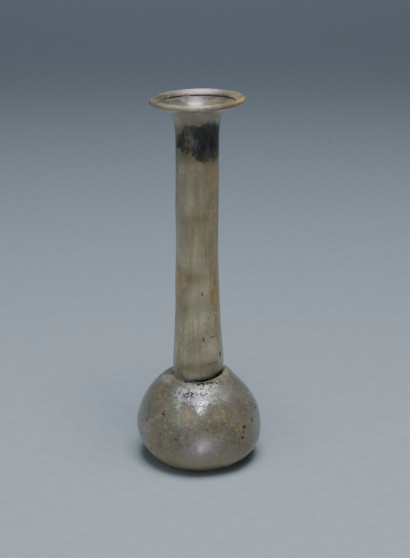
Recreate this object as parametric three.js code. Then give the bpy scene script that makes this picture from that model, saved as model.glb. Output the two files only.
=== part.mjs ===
// A free-blown glass flask: a squat domed body, a long neck and a wide folded rim.
// Millimetres, +Z up. The origin is under the middle of the body, on the surface that the
// flask stands on. -Y is the front. The vessel is one piece of glass, hollow and open.
import * as THREE from "three";

// Driving dimensions
const HEIGHT = 160; // middle of the tilted rim
const LIP_RADIUS = 19.9; // outside of the rim
const LIP_THICKNESS = 2.5;
const FOLD_RADIUS = 15.5; // where the infolded edge of the rim ends
const NECK_RADIUS = 8.8; // outside of the neck at its narrowest
const NECK_BULGE_RADIUS = 10.9; // outside of the neck's foot
const BODY_RADIUS = 27.1;
const BODY_WIDEST_AT = 15.8;
const SHOULDER_AT = 37.4;
const GROOVE_AT = 38.4; // the tooled groove between body and neck
const GROOVE_RADIUS = 9.8;
const FOOT_OUTER = 14.8; // the flat ring that the flask stands on
const FOOT_INNER = 10.8;
const KICK = 1.0; // hollow under the floor
const WALL = 1.45;
const FLOOR = 3.2; // inside floor above the ground, at the axis

// How the piece strays from a true form of revolution
const RIM_TILT = 0.0255; // rise per mm towards +X
const GROOVE_TILT = 0.12;
const GROOVE_EXTRA_DEPTH = 0.8;
const GROOVE_DEEP_SIDE = Math.PI / 4; // front right
const BODY_OVALITY = 0.006;
const NECK_OVALITY = 0.012;

const ROUND_STEPS = 56;

const bell = (x, centre, width) => Math.exp(-(((x - centre) / width) ** 2));
const ramp = (x, from, to) => THREE.MathUtils.smoothstep(x, from, to);

// A run of the outline, as radius and height: a cubic curve or a straight line.
const at = (radius, height) => new THREE.Vector2(radius, height);
const curved = (steps, a, b, c, d) => new THREE.CubicBezierCurve(a, b, c, d).getPoints(steps);
const straight = (steps, a, b) => new THREE.LineCurve(a, b).getPoints(steps);

// Underside, from the axis out over the shallow kick and the flat standing ring.
function underside() {
  return [
    ...curved(3, at(0, KICK), at(4, KICK), at(FOOT_INNER - 2.5, 0.35), at(FOOT_INNER, 0)),
    ...straight(1, at(FOOT_INNER, 0), at(FOOT_OUTER, 0)),
  ];
}

// Outside of the body, from the standing ring to the tooled groove.
function bodyOutside() {
  const widest = at(BODY_RADIUS, BODY_WIDEST_AT);
  const shoulder = at(16.0, SHOULDER_AT);
  return [
    ...curved(7, at(FOOT_OUTER, 0), at(22.1, 1.3), at(BODY_RADIUS, 7.2), widest),
    ...curved(8, widest, at(BODY_RADIUS, 23.8), at(22.3, 32.0), shoulder),
    ...curved(4, shoulder, at(14.4, 39.4), at(11.7, 39.9), at(10.7, 38.5)),
    at(GROOVE_RADIUS, GROOVE_AT),
  ];
}

// Outside of the neck, from the groove up to the underside of the rim.
function neckOutside() {
  const bulge = at(NECK_BULGE_RADIUS, 45);
  const waist = at(NECK_RADIUS, 108);
  const top = at(NECK_RADIUS + 0.1, 143);
  return [
    ...curved(4, at(GROOVE_RADIUS, GROOVE_AT), at(10.2, 39.0), at(NECK_BULGE_RADIUS, 41.5), bulge),
    ...curved(6, bulge, at(NECK_BULGE_RADIUS, 50.5), at(8.85, 66), waist),
    ...straight(2, waist, top),
    ...curved(6, top, at(9.15, 149.5), at(9.7, 156.2), at(FOLD_RADIUS, 156.3)),
  ];
}

// The rim: a round lip, its edge folded inwards over itself, and the slit under the fold.
function rim() {
  const half = LIP_THICKNESS / 2;
  const middle = at(LIP_RADIUS - half, HEIGHT - half);
  const lip = new THREE.Path().absarc(middle.x, middle.y, half, -Math.PI / 2, Math.PI / 2);
  return [
    ...lip.getPoints(3),
    ...curved(2, at(middle.x, HEIGHT), at(18.2, 159.9), at(16.6, 159.0), at(15.8, 158.6)),
    at(FOLD_RADIUS, 158.2),
    at(15.8, 157.85),
    at(16.9, 158.1),
    at(16.2, 157.55),
  ];
}

// Inside of the neck, from the funnel of the mouth down through the pinch at the groove.
function neckInside() {
  const bore = NECK_RADIUS - WALL;
  const bulge = at(NECK_BULGE_RADIUS - WALL, 45.5);
  return [
    ...curved(5, at(15.2, 157.4), at(11.2, 156.9), at(bore + 0.3, 155.2), at(bore + 0.1, 147.5)),
    ...straight(2, at(bore + 0.1, 147.5), at(bore, 108)),
    ...curved(5, at(bore, 108), at(bore + 0.1, 66), at(bulge.x, 51), bulge),
    ...curved(3, bulge, at(bulge.x, 42.4), at(7.9, 40.6), at(7.9, GROOVE_AT)),
  ];
}

// Inside of the body, from the pinch over the shoulder and down to the floor.
function bodyInside() {
  const shoulder = at(14.9, 36.1);
  const widest = at(BODY_RADIUS - WALL, BODY_WIDEST_AT);
  return [
    ...curved(4, at(7.9, GROOVE_AT), at(8.0, 36.2), at(12.8, 38.4), shoulder),
    ...curved(7, shoulder, at(20.4, 30.3), at(widest.x, 22.6), widest),
    ...curved(6, widest, at(widest.x, 7.9), at(19.4, 3.6), at(11, FLOOR)),
    ...curved(2, at(11, FLOOR), at(7, FLOOR), at(3, FLOOR), at(0, FLOOR)),
  ];
}

// Sideways stray of the centre line: the belly leans right, the shoulder and neck lean left.
function sway(height) {
  const neck = 0.35 + 0.57 * bell(height, 102, 34);
  return (
    0.5 * bell(height, 7, 6) -
    0.2 * bell(height, 17, 6) -
    0.4 * bell(height, 33, 7) -
    ramp(height, 28, 44) * neck -
    0.3 * bell(height, 151, 5) -
    0.17 * ramp(height, 150, 158)
  );
}

// Moves one point of the true form to its place in the hand-made one.
function strayed(point) {
  const angle = Math.atan2(point.y, point.x);
  const radius = Math.hypot(point.x, point.y);
  const height = point.z;
  const nearNeck = 1 - ramp(radius, 12, 17);
  const deepSide = (1 + Math.cos(angle + GROOVE_DEEP_SIDE)) / 2;
  const pinch = GROOVE_EXTRA_DEPTH * deepSide * bell(height, GROOVE_AT, 1.4) * nearNeck;
  const onNeck = ramp(height, 40, 60) * (1 - ramp(height, 140, 156));
  const oval =
    1 +
    BODY_OVALITY * Math.cos(2 * angle + 0.7) * bell(height, BODY_WIDEST_AT, 16) +
    NECK_OVALITY * Math.cos(2 * angle) * onNeck;
  const x = (radius - pinch) * oval * Math.cos(angle);
  const y = (radius - pinch) * oval * Math.sin(angle);
  const tilt = GROOVE_TILT * bell(height, 39, 5) * nearNeck + RIM_TILT * ramp(height, 146, 156);
  return new THREE.Vector3(x + sway(height), y, height + tilt * x);
}

function flaskGeometry() {
  const runs = [underside, bodyOutside, neckOutside, rim, neckInside, bodyInside];
  const outline = runs
    .flatMap((run) => run())
    .filter((p, i, all) => i === 0 || p.distanceTo(all[i - 1]) > 0.01);
  const geometry = new THREE.LatheGeometry(outline, ROUND_STEPS);
  geometry.rotateX(Math.PI / 2);
  const place = geometry.getAttribute("position");
  const point = new THREE.Vector3();
  for (let i = 0; i < place.count; i++) {
    const moved = strayed(point.fromBufferAttribute(place, i));
    place.setXYZ(i, moved.x, moved.y, moved.z);
  }
  geometry.computeVertexNormals();
  return geometry;
}

const weatheredGlass = new THREE.MeshStandardMaterial({
  color: 0x9a937c,
  roughness: 0.35,
  metalness: 0,
  transparent: true,
  opacity: 0.75,
});

const flask = new THREE.Mesh(flaskGeometry(), weatheredGlass);
flask.name = "flask";

const part = new THREE.Group();
part.add(flask);

export default part;
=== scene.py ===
"""A free-blown glass flask: a squat body, a long neck and a folded rim, weathered and iridescent.

The vessel is one closed skin of glass, outside and inside. A dried residue clings to the inside of
the upper neck, and flakes of silvery film cling to the front of the shoulder. Lengths are in
millimetres until a mesh is made, and heights are measured from the table. An azimuth is an angle
round the vessel in degrees: -90 is the front, 0 the right, 90 the back and 180 the left.
"""
import math

import bpy
import numpy as np
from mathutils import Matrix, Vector


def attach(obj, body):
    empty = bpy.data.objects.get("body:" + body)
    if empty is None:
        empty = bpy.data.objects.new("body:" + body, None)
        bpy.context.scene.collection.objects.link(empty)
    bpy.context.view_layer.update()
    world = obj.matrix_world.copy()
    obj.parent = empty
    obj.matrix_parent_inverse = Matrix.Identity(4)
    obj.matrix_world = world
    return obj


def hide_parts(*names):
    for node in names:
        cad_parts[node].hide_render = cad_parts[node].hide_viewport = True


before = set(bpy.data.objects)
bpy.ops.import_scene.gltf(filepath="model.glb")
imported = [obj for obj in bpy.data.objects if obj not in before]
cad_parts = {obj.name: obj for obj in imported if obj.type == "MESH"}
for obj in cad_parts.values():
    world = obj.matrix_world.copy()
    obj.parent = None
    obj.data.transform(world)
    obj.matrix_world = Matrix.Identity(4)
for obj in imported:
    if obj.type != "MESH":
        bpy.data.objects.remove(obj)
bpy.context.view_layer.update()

MM = 0.001

# The vessel's driving dimensions, as in the frame
HEIGHT = 160.0  # middle of the tilted rim
LIP_RADIUS = 19.9
LIP_THICKNESS = 2.5
FOLD_RADIUS = 15.5
NECK_RADIUS = 8.8
NECK_BULGE_RADIUS = 10.9
BODY_RADIUS = 27.1
BODY_WIDEST_AT = 15.8
SHOULDER_AT = 37.4
GROOVE_AT = 38.4
GROOVE_RADIUS = 9.8
FOOT_OUTER = 14.8
FOOT_INNER = 10.8
KICK = 1.0
WALL = 1.45
FLOOR = 3.2

# Where two runs of the outline meet, as radius and height
GROOVE = (GROOVE_RADIUS, GROOVE_AT)
FLARE_TOP = (FOLD_RADIUS, 156.3)
SLIT_END = (16.2, 157.55)
PINCH = (7.9, GROOVE_AT)

# How the blown piece strays from a true form of revolution
RIM_TILT = 0.0255
GROOVE_TILT = 0.12
GROOVE_EXTRA_DEPTH = 0.8
GROOVE_DEEP_SIDE = math.pi / 4
BODY_OVALITY = 0.006
NECK_OVALITY = 0.012

# Steps of the glass skin: around the vessel, round the lip, and the length of a step elsewhere
ROUND_STEPS = 208
LIP_STEPS = 12
STEP_BASE = 1.1
STEP_BODY = 0.5
STEP_NECK = 0.8
STEP_RIM = 0.34
STEP_FLARE = 1.6 * STEP_RIM
STEP_FOLD = 0.15
STEP_INSIDE = 1.7


def bell(x, centre, width):
    """A bell curve: one at the centre, fading over the width."""
    return np.exp(-(((x - centre) / width) ** 2))


def ramp(x, start, end):
    """A smooth rise from zero at start to one at end."""
    t = np.clip((x - start) / (end - start), 0, 1)
    return t * t * (3 - 2 * t)


def evenly(line, step):
    """The same line, cut into steps of even length."""
    along = np.concatenate([[0], np.cumsum(np.hypot(*np.diff(line, axis=0).T))])
    marks = np.linspace(0, along[-1], max(1, round(along[-1] / step)) + 1)
    return np.stack([np.interp(marks, along, line[:, i]) for i in (0, 1)], 1)


def curved(a, b, c, d, step, fine_points=400):
    """A cubic curve from a to d, drawn towards b and c, cut into steps of even length."""
    t = np.linspace(0, 1, fine_points)[:, None]
    a, b, c, d = (np.array(p, float) for p in (a, b, c, d))
    fine = a * (1 - t) ** 3 + 3 * b * t * (1 - t) ** 2 + 3 * c * t * t * (1 - t) + d * t**3
    return evenly(fine, step)


def straight(a, b, step):
    """A straight line from a to b in even steps."""
    return evenly(np.array([a, b], float), step)


def joined(runs):
    """Runs of an outline end to end, with each shared point kept once."""
    return np.concatenate([runs[0]] + [run[1:] for run in runs[1:]])


def underside():
    """From the axis out over the shallow kick and the flat standing ring."""
    kick = curved((0, KICK), (4, KICK), (FOOT_INNER - 2.5, 0.35), (FOOT_INNER, 0), STEP_BASE)
    return joined([kick, straight((FOOT_INNER, 0), (FOOT_OUTER, 0), STEP_BASE)])


def body_outside(step=STEP_BODY):
    """From the standing ring over the belly and shoulder to the tooled groove."""
    widest, shoulder, brink = (BODY_RADIUS, BODY_WIDEST_AT), (16.0, SHOULDER_AT), (10.7, 38.5)
    return joined([
        curved((FOOT_OUTER, 0), (22.1, 1.3), (BODY_RADIUS, 7.2), widest, step),
        curved(widest, (BODY_RADIUS, 23.8), (22.3, 32.0), shoulder, step),
        curved(shoulder, (14.4, 39.4), (11.7, 39.9), brink, step),
        straight(brink, GROOVE, STEP_RIM),
    ])


def neck_outside():
    """From the groove up the neck to the underside of the rim."""
    bulge, waist, top = (NECK_BULGE_RADIUS, 45), (NECK_RADIUS, 108), (NECK_RADIUS + 0.1, 143)
    return joined([
        curved(GROOVE, (10.2, 39.0), (NECK_BULGE_RADIUS, 41.5), bulge, STEP_BODY),
        curved(bulge, (NECK_BULGE_RADIUS, 50.5), (8.85, 66), waist, STEP_NECK),
        straight(waist, top, STEP_NECK),
        curved(top, (9.15, 149.5), (9.7, 156.2), FLARE_TOP, STEP_FLARE),
    ])


def rim():
    """The round lip, its edge folded inwards over itself, and the slit under the fold."""
    half = LIP_THICKNESS / 2
    turn = np.linspace(-math.pi / 2, math.pi / 2, LIP_STEPS + 1)
    centre = (LIP_RADIUS - half, HEIGHT - half)
    lip = np.stack([centre[0] + half * np.cos(turn), centre[1] + half * np.sin(turn)], 1)
    fold_top, fold_foot, slit = (15.8, 158.6), (15.8, 157.9), (16.9, 158.1)
    return joined([
        straight(FLARE_TOP, lip[0], STEP_RIM),
        lip,
        curved(lip[-1], (18.2, 159.9), (16.6, 159.0), fold_top, STEP_RIM),
        curved(fold_top, (15.45, 158.4), (15.4, 158.05), fold_foot, STEP_FOLD),
        straight(fold_foot, slit, STEP_RIM),
        straight(slit, SLIT_END, STEP_RIM),
    ])


def neck_inside(step=STEP_INSIDE):
    """From the funnel of the mouth down the bore to the pinch at the groove."""
    bore = NECK_RADIUS - WALL
    mouth, top, waist = (15.2, 157.4), (bore + 0.1, 147.5), (bore, 108)
    bulge = (NECK_BULGE_RADIUS - WALL, 45.5)
    return joined([
        straight(SLIT_END, mouth, STEP_RIM),
        curved(mouth, (11.2, 156.9), (bore + 0.3, 155.2), top, step / 2),
        straight(top, waist, step),
        curved(waist, (bore + 0.1, 66), (bulge[0], 51), bulge, step),
        curved(bulge, (bulge[0], 42.4), (7.9, 40.6), PINCH, step / 2),
    ])


def body_inside():
    """From the pinch over the inside of the shoulder and down to the floor."""
    shoulder, widest, corner = (14.9, 36.1), (BODY_RADIUS - WALL, BODY_WIDEST_AT), (11, FLOOR)
    return joined([
        curved(PINCH, (8.0, 36.2), (12.8, 38.4), shoulder, STEP_INSIDE / 2),
        curved(shoulder, (20.4, 30.3), (widest[0], 22.6), widest, STEP_INSIDE),
        curved(widest, (widest[0], 7.9), (19.4, 3.6), corner, STEP_INSIDE),
        straight(corner, (0, FLOOR), STEP_INSIDE * 1.5),
    ])


def outward(outline):
    """The outline's unit normals: its direction turned a quarter right, which is out of the glass."""
    along = np.gradient(outline, axis=0)
    normal = np.stack([along[:, 1], -along[:, 0]], 1)
    return normal / np.maximum(np.hypot(*normal.T), 1e-9)[:, None]


def sway(height):
    """Sideways stray of the centre line: belly to the right, shoulder and neck to the left."""
    neck = 0.35 + 0.57 * bell(height, 102, 34)
    return (
        0.5 * bell(height, 7, 6)
        - 0.2 * bell(height, 17, 6)
        - 0.4 * bell(height, 33, 7)
        - ramp(height, 28, 44) * neck
        - 0.3 * bell(height, 151, 5)
        - 0.17 * ramp(height, 150, 158)
    )


def deep_side(angle):
    """One on the side where the groove is deepest, falling to zero across from it."""
    return (1 + np.cos(angle + GROOVE_DEEP_SIDE)) / 2


def placed(outline, angle, lift=0.0):
    """Points of the hand-made form. A point of the outline goes lift out along its normal and
    round by the angle; then the groove's deeper side, the ovals, the tilts and the sway move it."""
    normal = outward(outline)
    radius = outline[:, :1] + normal[:, :1] * lift
    height = outline[:, 1:] + normal[:, 1:] * lift
    near_neck = 1 - ramp(radius, 12, 17)
    pinch = GROOVE_EXTRA_DEPTH * deep_side(angle) * bell(height, GROOVE_AT, 1.4) * near_neck
    on_neck = ramp(height, 40, 60) * (1 - ramp(height, 140, 156))
    body_oval = BODY_OVALITY * np.cos(2 * angle + 0.7) * bell(height, BODY_WIDEST_AT, 16)
    neck_oval = NECK_OVALITY * np.cos(2 * angle) * on_neck
    out = np.maximum(radius - pinch, 0) * (1 + body_oval + neck_oval)
    x, y = out * np.cos(angle), out * np.sin(angle)
    tilt = GROOVE_TILT * bell(height, 39, 5) * near_neck + RIM_TILT * ramp(height, 146, 156)
    return np.stack([x + sway(height), y, height + tilt * x], -1)


def waves(points, length, seed, count=14):
    """Smooth blotches between about -1 and 1: plane waves of about one length, in seeded random
    directions and phases, added together."""
    rng = np.random.default_rng(seed)
    way = rng.normal(size=(count, 3))
    pace = 2 * math.pi / length * rng.uniform(0.7, 1.5, count)
    way *= (pace / np.linalg.norm(way, axis=1))[:, None]
    phase = rng.uniform(0, 2 * math.pi, count)
    return np.sin(np.tensordot(points, way, axes=(-1, 1)) + phase).sum(-1) / math.sqrt(count)


def round_and_out(points):
    """The angle of each point round the vertical axis, and its distance from that axis."""
    x, y = points[..., 0], points[..., 1]
    return np.arctan2(y, x), np.hypot(x, y)


def spot(points, azimuth, height, wide, tall):
    """A soft spot on the skin, one in its middle. It is a bell in the distance round the vessel
    over wide, times a bell in height over tall."""
    angle, radius = round_and_out(points)
    turn = np.angle(np.exp(1j * (angle - math.radians(azimuth))))
    return np.exp(-((turn * radius / wide) ** 2) - ((points[..., 2] - height) / tall) ** 2)


def spots(points, table):
    """The strongest of several soft spots, each given as azimuth, height, wide, tall, strength."""
    return np.max([s * spot(points, a, h, w, t) for a, h, w, t, s in table], axis=0)


# Deep corrosion pits that show one by one: azimuth, height, width, depth
PITS = (
    (-111, 18.4, 0.55, 0.30),
    (-130, 27.6, 0.80, 0.25),
    (-29, 22.2, 0.80, 0.30),
    (-42, 21.2, 0.90, 0.35),
    (-44, 19.2, 0.70, 0.30),
    (-46, 17.0, 0.80, 0.30),
    (-50, 15.2, 0.60, 0.25),
    (-13, 25.2, 0.70, 0.30),
    (-65, 24.9, 0.60, 0.25),
)

# Seeded random small pits on the body: how many, and from where to where each measure is drawn
SMALL_PITS = 150
SMALL_PIT_SEED = 11
SMALL_PIT_RANGES = (
    (-180, 180),  # azimuth
    (6, 36),  # height
    (0.35, 0.8),  # width
    (0.05, 0.16),  # depth
)

# The relief of the outside: depth of the blowing's waves and of the two grains of weathering
BLOWN_WAVES = 0.13
COARSE_GRAIN = 0.022
FINE_GRAIN = 0.012

# The lump of glass left of the groove, as a soft spot
LUMP = ((-158, 38.0, 5.0, 1.8, 1.1),)


def pit_depth(points):
    """How deep the corrosion has eaten in: the deepest of the named pits and the small ones, each
    a soft spot as wide as it is tall."""
    rng = np.random.default_rng(SMALL_PIT_SEED)
    small = [[rng.uniform(*span) for span in SMALL_PIT_RANGES] for _ in range(SMALL_PITS)]
    depth = np.zeros(points.shape[:-1])
    for azimuth, height, wide, deep in (*PITS, *small):
        depth = np.maximum(depth, deep * spot(points, azimuth, height, wide, wide))
    return depth


def relief(points):
    """How far the outside stands off the smooth form: slow waves of the blowing, fine weathering
    that is fainter on the neck, and the lump, less the pits. It fades out at the standing ring."""
    on_body = 1 - ramp(points[..., 2], 36, 44)
    slow = BLOWN_WAVES * waves(points, 26, seed=1)
    fine = COARSE_GRAIN * waves(points, 3.2, seed=2) + FINE_GRAIN * waves(points, 1.6, seed=3)
    fade = ramp(points[..., 2], 0.8, 4)
    return (slow + fine * (0.35 + 0.65 * on_body) + spots(points, LUMP) - pit_depth(points)) * fade


def cell_corners(at):
    """The four corners of every cell of a grid of points, going round: one grid for each corner."""
    return at[:-1, :-1], at[:-1, 1:], at[1:, 1:], at[1:, :-1]


def new_mesh(name, points, faces, materials=(), face_material=None):
    """A mesh object in metres from points and rows of corner numbers; -1 pads a triangle's row."""
    sides = np.where(faces[:, -1] < 0, 3, 4)
    starts = np.concatenate([[0], np.cumsum(sides)[:-1]])
    corners = faces[faces >= 0]
    mesh = bpy.data.meshes.new(name)
    mesh.vertices.add(len(points))
    mesh.vertices.foreach_set("co", (points * MM).astype(np.float32).ravel())
    mesh.loops.add(len(corners))
    mesh.loops.foreach_set("vertex_index", corners.astype(np.int32))
    mesh.polygons.add(len(faces))
    mesh.polygons.foreach_set("loop_start", starts.astype(np.int32))
    mesh.polygons.foreach_set("use_smooth", np.ones(len(faces), bool))
    for material in materials:
        mesh.materials.append(material)
    if face_material is not None:
        mesh.polygons.foreach_set("material_index", face_material.astype(np.int32))
    mesh.update(calc_edges=True)
    mesh.validate()
    piece = bpy.data.objects.new(name, mesh)
    bpy.context.scene.collection.objects.link(piece)
    return piece


def corners_of(piece):
    """The piece's points in millimetres, one row each."""
    points = np.empty(len(piece.data.vertices) * 3, np.float32)
    piece.data.vertices.foreach_get("co", points)
    return points.reshape(-1, 3).astype(float) / MM


def stain(piece, masks):
    """Stores each mask, one number per point between zero and one, for the material to read."""
    for name, values in masks.items():
        layer = piece.data.attributes.new(name, "FLOAT", "POINT")
        layer.data.foreach_set("value", np.clip(values, 0, 1).astype(np.float32).ravel())


# Material nodes
def colour(red, green, blue):
    """A colour given as it looks on a screen, 0 to 255, as the light values a shader needs."""
    c = np.array([red, green, blue]) / 255
    return (*np.where(c <= 0.04045, c / 12.92, ((c + 0.055) / 1.055) ** 2.4), 1.0)


class Finish:
    """A node material. Its methods add nodes and give back the output of the last one."""

    def __init__(self, name):
        self.material = bpy.data.materials.new(name)
        self.material.use_nodes = True
        self.tree = self.material.node_tree
        self.shader = self.tree.nodes["Principled BSDF"]
        self.place = self.tree.nodes.new("ShaderNodeTexCoord").outputs["Object"]

    def put(self, socket, value):
        """Links an output to the socket, or sets the socket to a plain value."""
        if isinstance(value, bpy.types.NodeSocket):
            self.tree.links.new(value, socket)
        else:
            socket.default_value = value

    def noise(self, size_mm, detail=4.0, roughness=0.55, distortion=0.0, place=None):
        """Cloudy noise with blotches of about the size, mostly between 0.3 and 0.7."""
        n = self.tree.nodes.new("ShaderNodeTexNoise")
        self.put(n.inputs["Vector"], place or self.place)
        self.put(n.inputs["Scale"], 1000 / size_mm)
        self.put(n.inputs["Detail"], detail)
        self.put(n.inputs["Roughness"], roughness)
        self.put(n.inputs["Distortion"], distortion)
        return n.outputs["Fac"]

    def cells(self, size_mm):
        """The distance to the nearest of scattered points, about the size apart."""
        n = self.tree.nodes.new("ShaderNodeTexVoronoi")
        self.put(n.inputs["Vector"], self.place)
        self.put(n.inputs["Scale"], 1000 / size_mm)
        return n.outputs["Distance"]

    def drawn_out(self, z):
        """Places for a noise that is drawn out upwards: its height counts only by the share z."""
        n = self.tree.nodes.new("ShaderNodeMapping")
        self.put(n.inputs["Vector"], self.place)
        self.put(n.inputs["Scale"], (1, 1, z))
        return n.outputs["Vector"]

    def mask(self, name):
        """The numbers that stain stored on the mesh under the name."""
        n = self.tree.nodes.new("ShaderNodeAttribute")
        n.attribute_name = name
        return n.outputs["Fac"]

    def sums(self, operation, a, b, c=None):
        """One operation of arithmetic on two or three values."""
        n = self.tree.nodes.new("ShaderNodeMath")
        n.operation = operation
        for socket, value in zip(n.inputs, (a, b, c)):
            if value is not None:
                self.put(socket, value)
        return n.outputs[0]

    def times(self, a, b):
        """The product of a and b."""
        return self.sums("MULTIPLY", a, b)

    def scaled(self, value, factor, added):
        """The value times the factor, plus what is added."""
        return self.sums("MULTIPLY_ADD", value, factor, added)

    def rest(self, value):
        """What is left of one when the value is taken away."""
        return self.sums("SUBTRACT", 1.0, value)

    def strongest(self, value, covers):
        """The highest of the value and of each cover times its strength."""
        for cover, strength in covers:
            value = self.sums("MAXIMUM", value, self.times(cover, strength))
        return value

    def between(self, value, low, high, to_low=0.0, to_high=1.0):
        """A smooth change from to_low, where the value is low, to to_high, where it is high."""
        n = self.tree.nodes.new("ShaderNodeMapRange")
        n.interpolation_type = "SMOOTHSTEP"
        for socket, v in zip(n.inputs, (value, low, high, to_low, to_high)):
            self.put(socket, v)
        return n.outputs[0]

    def above(self, start_mm, end_mm, below=0.0, beyond=1.0):
        """A smooth change with height, from below under the start to beyond over the end."""
        n = self.tree.nodes.new("ShaderNodeSeparateXYZ")
        self.put(n.inputs[0], self.place)
        return self.between(n.outputs["Z"], start_mm * MM, end_mm * MM, below, beyond)

    def wandering(self, value, noise, reach):
        """The value, shifted up and down by the noise, half the reach at most."""
        return self.scaled(self.sums("SUBTRACT", noise, 0.5), reach, value)

    def edges(self, mask, noise, width, reach):
        """The mask with a ragged edge: the noise shifts where the mask counts as one."""
        return self.between(self.wandering(mask, noise, reach), 0.5 - width, 0.5 + width)

    def blend(self, factor, a, b):
        """Colour a where the factor is zero, colour b where it is one."""
        n = self.tree.nodes.new("ShaderNodeMix")
        n.data_type = "RGBA"
        self.put(n.inputs["Factor"], factor)
        self.put(n.inputs["A"], a)
        self.put(n.inputs["B"], b)
        return n.outputs["Result"]

    def layered(self, tone, layers):
        """The tone under layers, each a cover from zero to one and a colour, the last on top."""
        for cover, colour_over in layers:
            tone = self.blend(cover, tone, colour_over)
        return tone

    def ramp(self, value, stops):
        """The colour of the stop at the value, and a mixture between two stops."""
        n = self.tree.nodes.new("ShaderNodeValToRGB")
        marks = n.color_ramp.elements
        marks[0].position, marks[0].color = stops[0]
        marks[1].position, marks[1].color = stops[-1]
        for position, tone in stops[1:-1]:
            marks.new(position).color = tone
        self.put(n.inputs["Fac"], value)
        return n.outputs["Color"]

    def bump(self, height, depth_mm, under=None):
        """A shading relief, depth_mm from height zero to one, on top of the one under it."""
        n = self.tree.nodes.new("ShaderNodeBump")
        self.put(n.inputs["Height"], height)
        self.put(n.inputs["Distance"], depth_mm * MM)
        if under is not None:
            self.put(n.inputs["Normal"], under)
        return n.outputs["Normal"]

    def set(self, **values):
        """Puts the values into the shader's sockets and gives back the finished material."""
        for name, value in values.items():
            self.put(self.shader.inputs[name.replace("_", " ")], value)
        return self.material


# The weathering film's interference colours: deep blue, pale blue, silver, lilac and straw
FILM_HUES = (
    (0.38, colour(64, 78, 128)),
    (0.45, colour(112, 150, 168)),
    (0.50, colour(172, 180, 190)),
    (0.55, colour(172, 146, 184)),
    (0.62, colour(158, 166, 120)),
)

# Colours of the outside, from the clean film up to the soil and its painted shade, with painted
# highlights and painted bounce light among them; a pair is blended by a noise
BODY_FILM = (colour(192, 192, 182), colour(176, 171, 150))
NECK_FILM = colour(206, 198, 170)
RIM_FILM = colour(198, 192, 173)
DRIP_TONE = colour(172, 156, 118)
GRIME_TONE = colour(96, 88, 70)
# The foot's film: its own yellower tone and painted light bounced up from the floor
FOOT_FILM_AND_BOUNCE_LIGHT = colour(214, 198, 150)
EARTH_TONES = (colour(158, 134, 92), colour(118, 98, 66))
BODY_OCHRE = (colour(198, 158, 102), colour(136, 102, 62))
NECK_OCHRE = (colour(210, 172, 98), colour(162, 130, 72))
GREEN_TONE = colour(160, 184, 152)
# Pale lilac of the painted highlights
PAINTED_HIGHLIGHT_TONE = colour(250, 232, 252)
CRUMB_TONE = colour(222, 216, 202)
PIT_TONE = colour(72, 62, 50)
# Dark soil, also painted as shade in the slit and the groove
SOIL_AND_SHADE_TONES = (colour(16, 13, 10), colour(48, 38, 28))


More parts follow.
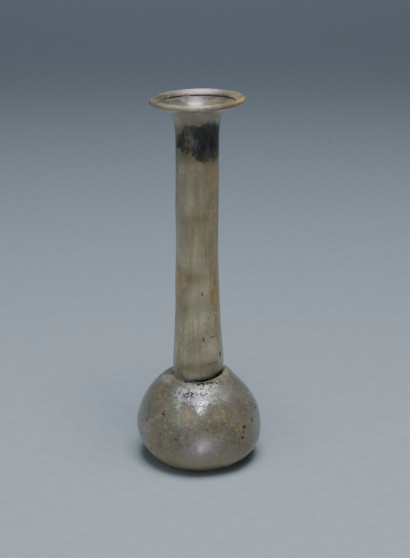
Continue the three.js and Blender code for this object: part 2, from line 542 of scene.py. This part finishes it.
def weathered_glass():
    """Outside of the vessel: glass under a milky weathering film. The body is pitted, speckled and
    iridescent in front, the neck is smoother and streaked, and both are stained ochre and brown.
    Each kind of weathering is a mask or a noise with its own edge, and some masks paint light: pale
    lilac spots are painted highlights, a milkier stretch on the front of the lip is a painted
    highlight, the lighter foot is partly painted light bounced up from the floor, and the soil also
    paints shade into the slit and the groove. They lie over each other in the colour, and the one that
    hides most says how little light comes through."""
    f = Finish("weathered_glass")
    broad, mid, fine = f.noise(9, 4), f.noise(2.4, 6, 0.62), f.noise(0.8, 4, 0.6)
    streaks = f.noise(2.2, 4, 0.6, place=f.drawn_out(0.07))
    on_neck, on_rim = f.above(37, 43), f.above(150, 156)
    on_body = f.rest(on_neck)

    # Stains from the masks; on the neck the ochre is weaker between drawn streaks
    drawn = f.between(streaks, 0.35, 0.62, f.scaled(on_neck, -0.22, 1.0), 1.0)
    rust = f.times(f.edges(f.mask("ochre"), mid, 0.6, 1.1), drawn)
    tan = f.edges(f.mask("brown"), mid, 0.6, 0.5)
    # Soil, and painted shade in the slit under the fold and in the groove
    dirt_and_shade = f.edges(f.mask("soil_and_shade"), fine, 0.15, 1.8)
    sheen = f.edges(f.mask("silver"), mid, 0.35, 0.9)
    # Painted highlights: pale lilac, more opaque spots where reflections fall
    painted_highlight = f.mask("painted_highlight")

    # Weathering that needs no mask, only height and noise; the lighter, yellower foot is partly painted
    # light bounced up from the floor
    foot = f.above(4, 24, 0.8, 0.0)
    drips = f.times(on_neck, f.between(streaks, 0.44, 0.62, 0.0, 0.65))
    grime = f.times(on_body, f.between(f.noise(1.3, 4, 0.7), 0.46, 0.60, 0.0, 0.85))
    crumbs = f.times(f.between(f.noise(0.9, 3, 0.7), 0.58, 0.68), f.between(mid, 0.48, 0.58))
    crumbs = f.times(on_body, crumbs)
    pits = f.times(f.between(f.cells(1.9), 0.05, 0.17, 1.0, 0.0), f.between(broad, 0.5, 0.62, 0.0, 0.6))
    pits = f.times(on_body, pits)

    film = f.layered(f.blend(f.between(broad, 0.42, 0.60), *BODY_FILM), (
        (on_neck, NECK_FILM),
        (on_rim, RIM_FILM),
        (drips, DRIP_TONE),
        (grime, GRIME_TONE),
        (foot, FOOT_FILM_AND_BOUNCE_LIGHT),
        (f.times(tan, 0.8), f.blend(fine, *EARTH_TONES)),
        (f.times(rust, 0.8), f.blend(on_neck, f.blend(fine, *BODY_OCHRE), f.blend(fine, *NECK_OCHRE))),
        (f.times(sheen, 0.65), f.ramp(f.noise(2.6, 3, 0.5, 0.8), FILM_HUES)),
        (f.mask("green"), GREEN_TONE),
        (painted_highlight, PAINTED_HIGHLIGHT_TONE),
        (f.times(crumbs, 0.8), CRUMB_TONE),
        (f.times(pits, 0.8), PIT_TONE),
        (dirt_and_shade, f.blend(fine, *SOIL_AND_SHADE_TONES)),
    ))
    # The milkiness also carries the painted highlight on the front of the lip
    veil = f.between(f.wandering(f.mask("milk_and_lip_highlight"), mid, 0.35), 0.0, 1.0, 0.0, 0.95)
    veil = f.strongest(veil, (
        (rust, 0.58),
        (tan, 0.5),
        (sheen, 0.5),
        (painted_highlight, 0.85),
        (grime, 0.55),
        (foot, 0.6),
        (crumbs, 0.6),
        (pits, 0.7),
        (dirt_and_shade, 1.0),
    ))
    rough = f.scaled(sheen, 0.3, f.between(mid, 0.3, 0.7, 0.08, 0.24))
    rough = f.scaled(dirt_and_shade, 0.7, rough)
    normal = f.bump(mid, 0.07)
    normal = f.bump(f.times(fine, f.scaled(on_body, 0.8, 0.2)), 0.13, normal)
    normal = f.bump(f.times(f.noise(1.0, 5, 0.7), sheen), 0.2, normal)
    normal = f.bump(pits, -0.12, normal)
    return f.set(
        Base_Color=film,
        Transmission_Weight=f.rest(veil),
        Roughness=rough,
        Metallic=f.times(sheen, 0.3),
        IOR=1.5,
        Thin_Film_Thickness=f.times(sheen, f.between(broad, 0.3, 0.7, 260.0, 520.0)),
        Thin_Film_IOR=1.6,
        Normal=normal,
    )


# Colours of the flakes
FLAKE_BLUE = colour(62, 74, 112)
# White of the silvery film, also painted as the core of the shoulder's highlight
FLAKE_WHITE_AND_HIGHLIGHT = colour(250, 250, 253)
FLAKE_CREAM = colour(176, 167, 150)
FLAKE_WORN = colour(34, 38, 60)
# Soil, with painted shade near the groove
FLAKE_SOIL_AND_SHADE = colour(10, 8, 6)


def silvery_flakes():
    """The flaking weathering film, half metallic under a thin film. Its hues wander with a noise under
    blue, white and cream places; the white is silvery film and also the painted core of the shoulder's
    highlight. It is worn dark where the fine noise is high, hardly so in the white, and soil, with
    painted shade near the groove, lies on top. What is worn or soiled is dull, and blue and cream are
    matt."""
    f = Finish("silvery_flakes")
    mid, fine = f.noise(4.0, 4, 0.6, 0.5), f.noise(1.0, 5, 0.65)
    white_and_highlight, blue, cream = f.mask("white_and_highlight"), f.mask("blue"), f.mask("cream")
    worn = f.between(f.scaled(blue, 0.05, fine), 0.47, 0.56, 0.0, 0.95)
    worn = f.times(worn, f.scaled(white_and_highlight, -0.9, 1.0))
    dirt_and_shade = f.edges(f.mask("soil_and_shade"), fine, 0.15, 3.0)
    dull = f.strongest(worn, ((dirt_and_shade, 1.0),))
    matt = f.strongest(dull, ((blue, 0.8), (cream, 0.8)))
    tone = f.layered(f.ramp(mid, FILM_HUES), (
        (blue, FLAKE_BLUE),
        (white_and_highlight, FLAKE_WHITE_AND_HIGHLIGHT),
        (cream, FLAKE_CREAM),
        (worn, FLAKE_WORN),
        (dirt_and_shade, FLAKE_SOIL_AND_SHADE),
    ))
    return f.set(
        Base_Color=tone,
        Metallic=f.scaled(dull, -0.5, 0.5),
        Roughness=f.scaled(matt, 0.45, f.between(fine, 0.3, 0.7, 0.24, 0.5)),
        Thin_Film_Thickness=f.between(mid, 0.3, 0.7, 300.0, 520.0),
        Thin_Film_IOR=1.5,
        Normal=f.bump(fine, 0.4),
    )


# Colours of the inside
INNER_FILM = (colour(214, 208, 188), colour(190, 182, 158))
INNER_RUST = colour(104, 88, 62)
# Pale lilac of the painted highlights inside, as in the funnel
INNER_PAINTED_HIGHLIGHT = colour(236, 218, 246)


def inner_glass():
    """Inside of the vessel: clearer glass with a thin bloom and faint drawn streaks, brown where the
    ochre mask lies, painted pale lilac highlights where the highlight mask lies, as in the funnel, and
    a little rougher in the funnel."""
    f = Finish("inner_glass")
    bloom = f.noise(5, 5, 0.6)
    streaks = f.noise(1.4, 3, 0.5, place=f.drawn_out(0.08))
    rust = f.edges(f.mask("ochre"), bloom, 0.5, 0.6)
    # Painted highlights: pale lilac where reflections fall in the funnel
    painted_highlight = f.mask("painted_highlight")
    tone = f.blend(bloom, *INNER_FILM)
    tone = f.layered(tone, ((f.times(rust, 0.8), INNER_RUST), (painted_highlight, INNER_PAINTED_HIGHLIGHT)))
    veil = f.strongest(f.between(bloom, 0.35, 0.75, 0.03, 0.22), ((rust, 0.6), (painted_highlight, 0.6)))
    return f.set(
        Base_Color=tone,
        Transmission_Weight=f.rest(veil),
        Roughness=f.scaled(f.above(148, 155), 0.16, f.between(bloom, 0.3, 0.7, 0.04, 0.14)),
        IOR=1.5,
        Normal=f.bump(streaks, 0.05),
    )


# Colours of the residue
RESIDUE_DARK = (colour(14, 13, 11), colour(34, 31, 26))
RESIDUE_GREY = colour(70, 70, 58)
RESIDUE_VIOLET = colour(112, 104, 176)
RESIDUE_SILVER = colour(188, 196, 210)
RESIDUE_OLIVE = colour(124, 112, 70)
RESIDUE_BLACK = colour(4, 4, 3)


def dried_residue():
    """The dark crust in the neck: near black in two tones, with grey runs, then blue-violet,
    silvery and olive places with ragged edges, and black runs over all."""
    f = Finish("dried_residue")
    mid, fine = f.noise(4, 4, 0.6), f.noise(0.9, 5, 0.65)
    runs = f.noise(1.6, 4, 0.6, place=f.drawn_out(0.3))
    tone = f.layered(f.blend(f.between(mid, 0.4, 0.6), *RESIDUE_DARK), (
        (f.between(runs, 0.36, 0.44, 0.8, 0.0), RESIDUE_GREY),
        (f.edges(f.mask("violet"), mid, 0.5, 0.6), RESIDUE_VIOLET),
        (f.edges(f.mask("silver"), mid, 0.5, 0.6), RESIDUE_SILVER),
        (f.edges(f.mask("olive"), mid, 0.5, 0.7), RESIDUE_OLIVE),
        (f.between(runs, 0.47, 0.55, 0.0, 0.95), RESIDUE_BLACK),
    ))
    return f.set(
        Base_Color=tone,
        Roughness=f.between(fine, 0.3, 0.7, 0.35, 0.7),
        Normal=f.bump(fine, 0.15),
    )


# Where the weathering and the painted highlights show: azimuth, height, width, tallness and strength of
# each soft spot
OCHRE = (
    (-45, 128, 5.0, 9, 0.85),
    (-45, 112, 4.6, 14, 0.75),
    (-42, 92, 4.6, 14, 0.75),
    (-160, 86, 3.6, 5.0, 0.85),
    (-150, 79, 3.6, 6.0, 0.90),
    (-134, 83, 3.0, 5.0, 0.85),
    (-142, 74, 2.4, 6.0, 0.60),
    (-25, 77, 5.0, 9.0, 1.1),
    (-30, 58, 4.0, 10.0, 0.7),
    (-85, 84, 9.0, 4.0, 0.55),
    (90, 80, 16.0, 3.5, 0.8),
    (-103, 28.6, 2.4, 1.8, 1.0),
    (-101, 25.6, 1.6, 0.9, 0.9),
    (-136, 14.5, 4.2, 7.0, 0.9),
    (-118, 6.5, 6.0, 3.0, 0.7),
    (-44, 19, 3.0, 5.0, 0.7),
    (130, 22, 8.0, 6.0, 0.7),
    (-24, 159.5, 8.0, 3.0, 1.0),
    (20, 159.5, 5.0, 3.0, 0.6),
    (-38, 155.5, 6.0, 2.5, 0.7),
)
BROWN = (
    (48, 156.0, 8.0, 2.4, 1.0),
    (-42, 158.2, 6.0, 1.6, 0.95),
    (-25, 77, 5.0, 7.0, 0.6),
    (-66, 28, 6.0, 3.5, 0.85),
    (-48, 22, 6.0, 5.0, 0.85),
    (-42, 12, 7.0, 5.0, 0.75),
    (-80, 22.5, 6.0, 2.6, 0.8),
    (-85, 4, 18.0, 2.4, 0.7),
    (-62, 45.5, 6.0, 2.6, 0.95),
    (-105, 44.8, 9.0, 1.8, 0.7),
    (60, 45.0, 9.0, 2.2, 0.8),
    (40, 17, 9.0, 7.0, 0.8),
    (150, 12, 9.0, 6.0, 0.7),
)
SOIL = (
    (-60, 47.0, 4.0, 1.2, 0.48),
    (-78, 39.4, 7.0, 0.9, 0.66),
    (-104, 39.2, 5.0, 0.8, 0.52),
    (-104, 35.8, 6.0, 2.4, 0.52),
    (-84, 36.4, 6.0, 1.2, 0.50),
    (-103, 28.5, 3.4, 3.0, 0.38),
    (-85, 25.0, 14.0, 6.0, 0.27),
    (60, 22.0, 20.0, 9.0, 0.25),
    (-170, 20.0, 12.0, 8.0, 0.22),
    (-142, 10.5, 2.0, 1.6, 0.45),
    (-79, 58.0, 0.3, 2.0, 1.0),
    (-56, 58.8, 2.2, 0.5, 0.8),
    (-31, 50.0, 0.6, 1.8, 1.0),
    (-81, 78.1, 0.5, 0.7, 1.0),
    (-70, 95.7, 0.4, 0.6, 0.9),
    (-66, 67.5, 0.4, 0.6, 0.9),
    (-36, 69.5, 0.4, 0.6, 0.9),
    (-56, 159.1, 0.45, 0.4, 0.8),
    (-34, 159.2, 0.5, 0.4, 0.8),
)
SILVER = (
    (-84, 38.6, 8.0, 1.0, 1.30),
    (-118, 35.5, 4.0, 3.2, 0.95),
    (-100, 35.2, 6.5, 2.0, 1.00),
    (-87, 33.4, 3.6, 1.3, 1.25),
    (-89, 31.0, 1.9, 1.9, 1.25),
    (-114, 31.5, 2.6, 2.0, 0.7),
    (70, 31.0, 7.0, 4.0, 0.8),
    (165, 26.0, 5.0, 4.0, 0.6),
)
GREEN = (
    (-120, 33.5, 2.6, 3.4, 0.6),
    (-108, 27.5, 3.0, 1.6, 0.3),
)
# Painted highlights and reflections as pale lilac spots: on the lower belly, at the back of the lip, in
# the funnel, on the shoulder and on the knee left of the groove
PAINTED_HIGHLIGHTS = (
    (-86, 16.0, 5.4, 5.2, 0.55),
    (-95, 14.6, 4.6, 3.6, 0.36),
    (-88, 15.4, 2.6, 3.4, 0.72),
    (88, 159.8, 9.0, 1.6, 0.65),
    (96, 156.2, 3.6, 2.0, 0.55),
    (-88, 30.5, 5.0, 3.0, 0.15),
    (-50, 36.0, 7.0, 3.0, 0.20),
    (-165, 38.6, 4.0, 1.2, 0.32),
    (95, 14.0, 6.0, 4.0, 0.35),
)
# A painted highlight on the front of the lip, as a milkier stretch of the film
PAINTED_LIP_HIGHLIGHT = ((-100, 159.5, 16.0, 2.5, 0.2),)

# How milky the film is on the body, from zero for clear glass to one, and how that changes on the
# way up: from one height to another, by how much. It is nearly clear in front of the residue.
MILK_ON_BODY = 0.3
MILK_CHANGES = (
    (34, 44, 0.08),
    (60, 125, -0.05),
    (132, 138, -0.29),
    (148, 151, 0.18),
    (155, 158, -0.02),
)

# Soil lies in pits that are deeper than the first depth, the more the nearer to the second
SOILED_PIT = 0.1
FULL_PIT = 0.2


def milkiness_and_lip_highlight(points):
    """How milky the film is: its share on the body and the changes further up, a milkier stretch at the
    front of the rim that paints a highlight on the lip, and a slow drift."""
    milk_and_lip_highlight = MILK_ON_BODY + spots(points, PAINTED_LIP_HIGHLIGHT) + 0.05 * waves(points, 14, seed=21)
    for start, end, change in MILK_CHANGES:
        milk_and_lip_highlight = milk_and_lip_highlight + change * ramp(points[..., 2], start, end)
    return milk_and_lip_highlight


def slit_shade(points):
    """Painted shade in the slit under the fold, round the back of the mouth: a bell in radius times one
    in height and a wide one in azimuth, cut off smoothly at its right and left ends, less one gap."""
    angle, radius = round_and_out(points)
    azimuth, level = np.degrees(angle), points[..., 2] - RIM_TILT * points[..., 0]
    shade = 2.4 * bell(radius, 16.4, 0.8) * bell(level, 157.85, 0.3) * bell(azimuth, 86, 58) ** 0.5
    ends = ramp(azimuth, 28, 40) * (1 - ramp(azimuth, 134, 146))
    gap = spot(points, 109, 157.5, 2.0, 3.0)
    return shade * ends * (1 - gap)


def groove_soil_and_shade(points):
    """Soil and painted shade in the groove: a bell in height about it, close to the neck, thickest on
    its deep side.
    """
    angle, radius = round_and_out(points)
    level = points[..., 2] - GROOVE_TILT * points[..., 0]
    in_groove = bell(level, GROOVE_AT, 1.1) * (1 - ramp(radius, 11.0, 12.2))
    return in_groove * (0.2 + 0.9 * deep_side(angle) ** 3)


def glass_stains(points):
    """The masks of the weathering and of painted light: the milkiness, and for each other mask the
    strongest of the soft spots in its table. The soil mask also holds painted shade in the slit, soil
    and painted shade in the groove, and soil in the deeper pits."""
    pits = pit_depth(points)
    soils = [
        spots(points, SOIL),
        slit_shade(points),
        groove_soil_and_shade(points),
        np.clip(pits / FULL_PIT, 0, 0.9) * (pits > SOILED_PIT),
    ]
    return {
        "milk_and_lip_highlight": milkiness_and_lip_highlight(points),
        "ochre": spots(points, OCHRE),
        "brown": spots(points, BROWN),
        "soil_and_shade": np.max(soils, axis=0),
        "silver": spots(points, SILVER),
        "green": spots(points, GREEN),
        "painted_highlight": spots(points, PAINTED_HIGHLIGHTS),
    }


# How many of the outline's last outside points lie in the slit and carry no weathering relief
SLIT_POINTS = 4


def glass_vessel():
    """The vessel's skin: the closed outline swept right round, outside and inside in one mesh. The
    outside is lifted by the relief, less at the rim, and the inside above its floor by slow waves.
    Row k of the faces joins point k of the outline to the next, as a fan at each end on the axis."""
    outside = joined([underside(), body_outside(), neck_outside(), rim()])
    outline = joined([outside, neck_inside(), body_inside()])
    angle = np.linspace(0, 2 * math.pi, ROUND_STEPS, endpoint=False)[None, :]
    smooth = placed(outline, angle)
    height = smooth[..., 2]
    weathered = relief(smooth) * (1 - 0.8 * ramp(height, 150, 156))
    wavy = 0.05 * waves(smooth, 22, seed=5) * (height > 5)
    is_outside = np.arange(len(outline))[:, None] < len(outside) - SLIT_POINTS
    grid = placed(outline, angle, np.where(is_outside, weathered, wavy))

    ring_rows = len(outline) - 2
    at = np.arange(ring_rows * ROUND_STEPS).reshape(ring_rows, ROUND_STEPS)
    at = np.concatenate([at, at[:, :1]], axis=1)
    none = np.full(ROUND_STEPS, -1)
    first, last = np.full(ROUND_STEPS, at.max() + 1), np.full(ROUND_STEPS, at.max() + 2)
    fan_in = np.stack([first, at[0, 1:], at[0, :-1], none], -1)
    fan_out = np.stack([last, at[-1, :-1], at[-1, 1:], none], -1)
    faces = np.concatenate([[fan_in], np.stack(cell_corners(at), -1), [fan_out]]).reshape(-1, 4)
    is_inside = np.repeat(np.arange(ring_rows + 1) >= len(outside) - 1, ROUND_STEPS)

    points = np.concatenate([grid[1:-1].reshape(-1, 3), [grid[0].mean(0), grid[-1].mean(0)]])
    piece = new_mesh("glass_flask", points, faces, [weathered_glass(), inner_glass()], is_inside)
    stain(piece, glass_stains(points))
    return piece


# A cell's four neighbours, in the order of its sides, as row and column in a grid padded by one
NEIGHBOURS = ((0, 1), (1, 2), (2, 1), (1, 0))


def cell_means(values):
    """The mean of each grid cell's four corners."""
    return 0.25 * sum(cell_corners(values))


def crust(name, outline, angle, low, high, keep, material):
    """A thin closed crust on a stretch of wall. Its two faces lie low and high off the wall, it
    exists only in the kept cells of the grid, and a rim closes it round each opening."""
    # Where two kept cells meet at one corner only, a cell beside them is kept as well
    for _ in range(3):
        a, b, c, d = keep[:-1, :-1], keep[:-1, 1:], keep[1:, :-1], keep[1:, 1:]
        c[a & d & ~b & ~c] = True
        a[b & c & ~a & ~d] = True
    rows, columns = keep.shape
    at = np.arange((rows + 1) * (columns + 1)).reshape(rows + 1, columns + 1)
    to_top = at.size
    corners = cell_corners(at)
    faces = [np.stack(corners, -1)[keep] + to_top, np.stack(corners[::-1], -1)[keep]]
    padded = np.pad(keep, 1)
    for side, (row, column) in enumerate(NEIGHBOURS):
        open_side = keep & ~padded[row:row + rows, column:column + columns]
        start, end = corners[side][open_side], corners[(side + 1) % 4][open_side]
        faces.append(np.stack([start, end, end + to_top, start + to_top], -1))
    points = np.concatenate([placed(outline, angle, lift).reshape(-1, 3) for lift in (low, high)])
    used, faces = np.unique(np.concatenate(faces), return_inverse=True)
    return new_mesh(name, points[used], faces.reshape(-1, 4), [material])


def stain_in_places(piece, tables):
    """Stores a mask on the piece for each table of soft spots."""
    points = corners_of(piece)
    stain(piece, {name: spots(points, table) for name, table in tables.items()})


# Upper and lower edge of the residue, as azimuth and height
RESIDUE_TOP = (
    (-188, 143),
    (-160, 145),
    (-140, 146.5),
    (-128, 149.8),
    (-110, 150.2),
    (-60, 151),
    (-30, 150.5),
    (8, 147),
)
RESIDUE_FOOT = (
    (-188, 141),
    (-160, 138.5),
    (-125, 139.0),
    (-100, 136.6),
    (-80, 134.2),
    (-45, 133.2),
    (-10, 134.5),
    (8, 138),
)

# The wall that the residue may lie on: steps down and round it, and where it starts and ends
RESIDUE_STEP = 0.22
RESIDUE_COLUMNS = 150
RESIDUE_AZIMUTHS = (-188, 8)
RESIDUE_HEIGHTS = (130, 153)
RESIDUE_REACH = 9  # largest radius

# Where its waves rise above this it has a hole, and this deep it is sunk into the glass
RESIDUE_HOLES = 1.7
RESIDUE_SUNK = 0.03

# Coloured places of the residue, as soft spots
RESIDUE_STAINS = {
    "violet": ((-88, 140.5, 4.0, 3.4, 0.85),),
    "silver": ((-122, 143.0, 2.6, 3.2, 0.9),),
    "olive": (
        (-160, 142, 5.0, 5.0, 0.8),
        (-135, 139.5, 5.0, 1.6, 0.9),
        (-132, 148.0, 3.5, 2.4, 0.8),
        (-85, 134.0, 5.0, 1.2, 0.7),
        (-20, 141, 2.0, 9.0, 0.7),
    ),
}


def neck_residue():
    """The dried residue on the inside of the upper neck, with a level top edge, a lobe to the left
    and a foot that drops to the right. It is kept where the distance to its top or foot, whichever
    is nearer, plus ragged waves is above zero, less a few holes, and it thickens away from them."""
    line = neck_inside(RESIDUE_STEP)
    radius, height = line.T
    lowest, highest = RESIDUE_HEIGHTS
    line = line[(height > lowest) & (height < highest) & (radius < RESIDUE_REACH)]
    azimuth = np.linspace(*RESIDUE_AZIMUTHS, RESIDUE_COLUMNS)
    angle = np.radians(azimuth)[None, :]
    wall = placed(line, angle)
    top, foot = (np.interp(azimuth, *zip(*edge)) for edge in (RESIDUE_TOP, RESIDUE_FOOT))
    ragged = 0.7 * waves(wall, 3.5, seed=31) + 0.8 * waves(wall, 1.5, seed=32)
    ragged = ragged + 0.4 * waves(wall, 0.7, seed=35)
    depth = np.minimum(top - wall[..., 2], wall[..., 2] - foot) + ragged
    keep = (cell_means(depth) > 0) & (cell_means(waves(wall, 1.8, seed=33)) < RESIDUE_HOLES)
    thick = 0.06 + 0.16 * ramp(depth, 0, 3) * (1 + 0.5 * waves(wall, 1.6, seed=34))
    piece = crust("neck_residue", line, angle, -RESIDUE_SUNK, thick, keep, dried_residue())
    stain_in_places(piece, RESIDUE_STAINS)
    return piece


# The wall that the flakes may lie on: steps up and round it, and where it starts and ends
FLAKE_STEP = 0.17
FLAKE_COLUMNS = 190
FLAKE_AZIMUTHS = (-140, -48)
FLAKE_LOWEST = 26
FLAKE_NEAREST = 11.4  # smallest radius

# Flakes lie where the cover is above the first level and the holes are below the second, and this
# deep they are sunk into the glass
FLAKE_COVER = 0.86
FLAKE_HOLES = 0.3
FLAKE_SUNK = 0.05

# The core of the flakes, under the painted highlight's core, which has few holes, as azimuth, height,
# width and tallness
FLAKE_CORE = (-88, 32.4, 2.4, 2.0)

# Coloured places of the flakes, as soft spots
FLAKE_STAINS = {
    # Silvery film painted white as the core of the shoulder's highlight
    "white_and_highlight": (
        (-87, 33.3, 4.2, 1.5, 1.3),
        (-89, 31.2, 2.4, 2.2, 1.3),
    ),
    "cream": ((-86, 38.4, 9.0, 1.2, 1.0),),
    "blue": (
        (-97, 35.7, 7.0, 1.5, 1.1),
        (-118, 36.0, 2.0, 1.2, 0.6),
    ),
    # Soil, with painted shade near the groove
    "soil_and_shade": (
        (-80, 39.7, 10.0, 1.3, 0.95),
        (-92, 36.3, 9.0, 1.1, 0.80),
        (-106, 36.0, 6.0, 1.6, 0.55),
    ),
}


def shoulder_flakes():
    """Flakes of silvery film on the front of the shoulder, about a tenth of a millimetre thick.
    They are kept where the silver spots plus waves are strong and a second set of waves, the
    holes, is low, and they follow the relief of the glass under them."""
    line = body_outside(FLAKE_STEP)
    line = line[(line[:, 1] > FLAKE_LOWEST) & (line[:, 0] > FLAKE_NEAREST)]
    angle = np.radians(np.linspace(*FLAKE_AZIMUTHS, FLAKE_COLUMNS))[None, :]
    wall = placed(line, angle)
    base = relief(wall)
    cover = spots(wall, SILVER) + 0.22 * waves(wall, 4.0, seed=41) + 0.42 * waves(wall, 1.5, seed=42)
    holes = 0.9 * waves(wall, 1.0, seed=43) + waves(wall, 2.6, seed=44) - 1.3 * spot(wall, *FLAKE_CORE)
    keep = (cell_means(cover) > FLAKE_COVER) & (cell_means(holes) < FLAKE_HOLES)
    thick = 0.03 + 0.06 * ramp(cover, 0.75, 1.2) * (1.2 + 0.8 * waves(wall, 0.9, seed=45))
    low, high = base - FLAKE_SUNK, base + thick
    piece = crust("shoulder_flakes", line, angle, low, high, keep, silvery_flakes())
    stain_in_places(piece, FLAKE_STAINS)
    return piece


# The studio's sweep: reach of the floor, where it starts to bend up, where the wall stands, how
# near the bend draws to the corner, where the wall is upright and where it ends
SWEEP_REACH = 6000
BEND_FROM = 900
WALL_AT = 1500
BEND_DRAW = 100
BEND_TOP = 600
WALL_TOP = 1800
FLOOR_GAP = 0.1  # under the standing ring
STEP_FLOOR = 300
STEP_BEND = 60
STEP_WALL = 200
SWEEP_COLUMNS = 41

PAPER_TONES = (colour(136, 147, 158), colour(141, 152, 163))
SURROUND_TONE = colour(120, 128, 138)
SURROUND_STRENGTH = 0.6

# The camera, as the photograph was taken
CAMERA_AT = (2.5, -525.35, 256.8)
CAMERA_DOWN = 18.4  # degrees below level
LENS = 84
SENSOR = 36

# The soft boxes: name, place, aim, width, length and watts. The last lights the floor behind the
# front fill, as its mirror image, and faces away from the flask.
SOFT_BOXES = (
    ("overhead_box", (55, -215, 890), (0, 0, 60), 440, 500, 12),
    ("front_fill", (-600, -1100, 800), (0, 0, 60), 1700, 1700, 6),
    ("far_floor_fill", (-1014, -1858, 800), (-1614, -2958, 60), 1700, 1700, 6),
)


def paper():
    """Plain matt backdrop paper, pale and cool."""
    f = Finish("backdrop_paper")
    return f.set(Base_Color=f.blend(f.between(f.noise(6, 4), 0.3, 0.7), *PAPER_TONES), Roughness=0.9)


def sweep():
    """A pale floor that curves up into a backdrop: a strip of the same profile, side to side."""
    bend_foot, bend_top = (BEND_FROM, 0), (WALL_AT, BEND_TOP)
    run = joined([
        straight((-SWEEP_REACH, 0), bend_foot, STEP_FLOOR),
        curved(bend_foot, (WALL_AT - BEND_DRAW, 0), (WALL_AT, BEND_DRAW), bend_top, STEP_BEND),
        straight(bend_top, (WALL_AT, WALL_TOP), STEP_WALL),
    ])
    across = np.linspace(-SWEEP_REACH, SWEEP_REACH, SWEEP_COLUMNS)
    y, x = np.meshgrid(run[:, 0], across, indexing="ij")
    z = np.repeat(run[:, 1:], len(across), axis=1) - FLOOR_GAP
    points = np.stack([x, y, z], -1).reshape(-1, 3)
    faces = np.stack(cell_corners(np.arange(x.size).reshape(x.shape)), -1).reshape(-1, 4)
    return new_mesh("studio_sweep", points, faces, [paper()])


def soft_light(name, place_mm, aim_mm, wide_mm, long_mm, watts):
    """A rectangular soft box that faces the aim."""
    lamp = bpy.data.lights.new(name, "AREA")
    lamp.shape = "RECTANGLE"
    lamp.size, lamp.size_y, lamp.energy = wide_mm * MM, long_mm * MM, watts
    box = bpy.data.objects.new(name, lamp)
    place = np.array(place_mm) * MM
    toward = Vector(np.array(aim_mm) * MM - place)
    box.location = place
    box.rotation_euler = toward.to_track_quat("-Z", "Y").to_euler()
    bpy.context.scene.collection.objects.link(box)


def studio():
    """The camera at the photograph's angle, the sweep, the soft boxes and a dim even surround."""
    scene = bpy.context.scene
    lens = bpy.data.cameras.new("camera")
    lens.lens, lens.sensor_width = LENS, SENSOR
    camera = bpy.data.objects.new("camera", lens)
    camera.location = np.array(CAMERA_AT) * MM
    camera.rotation_euler = (math.radians(90 - CAMERA_DOWN), 0, 0)
    scene.collection.objects.link(camera)
    scene.camera = camera
    sweep()
    for box in SOFT_BOXES:
        soft_light(*box)
    world = bpy.data.worlds.new("surround")
    world.use_nodes = True
    surround = world.node_tree.nodes["Background"].inputs
    surround["Color"].default_value = SURROUND_TONE
    surround["Strength"].default_value = SURROUND_STRENGTH
    scene.world = world


studio()

vessel = glass_vessel()
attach(vessel, "root")
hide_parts("flask")

residue = neck_residue()
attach(residue, "root")

flakes = shoulder_flakes()
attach(flakes, "root")
